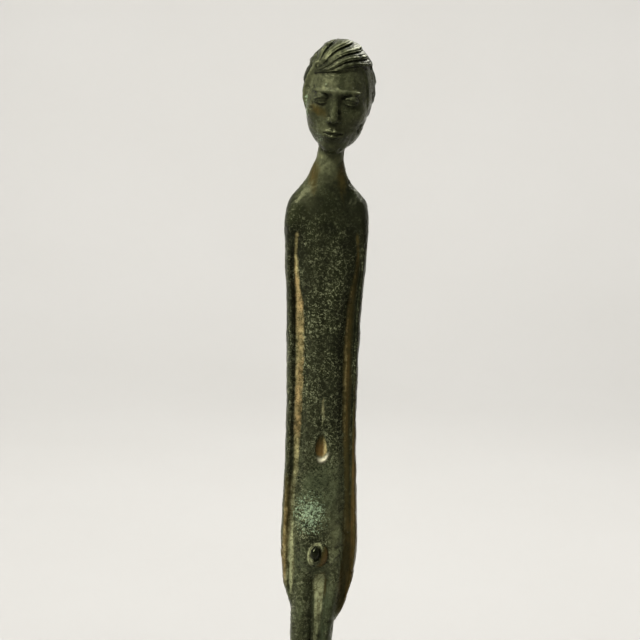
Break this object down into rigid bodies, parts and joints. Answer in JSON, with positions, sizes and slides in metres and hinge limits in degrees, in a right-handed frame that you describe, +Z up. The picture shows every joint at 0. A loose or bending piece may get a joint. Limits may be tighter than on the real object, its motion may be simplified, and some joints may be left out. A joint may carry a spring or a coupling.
{
  "type": "etruscan votive bronze",
  "caption": "Slender cast bronze votive figure of a standing youth, arms held straight down its sides, with short combed hair, a knotted loincloth and a low base cast in one with it.",
  "frame": {"origin": "centre of the flat underside of the base", "axes": "+Z up along the standing figure, the figure faces -Y, +X to the right of someone who looks at its face"},
  "size_m": [0.044, 0.046, 0.2896],
  "materials": {
    "patinated_bronze": "cast bronze with a dark green-black patina, khaki-gold in the grooves and verdigris in patches"
  },
  "bodies": {
    "root": {"votive_figure": "patinated_bronze"}
  },
  "joints": []
}
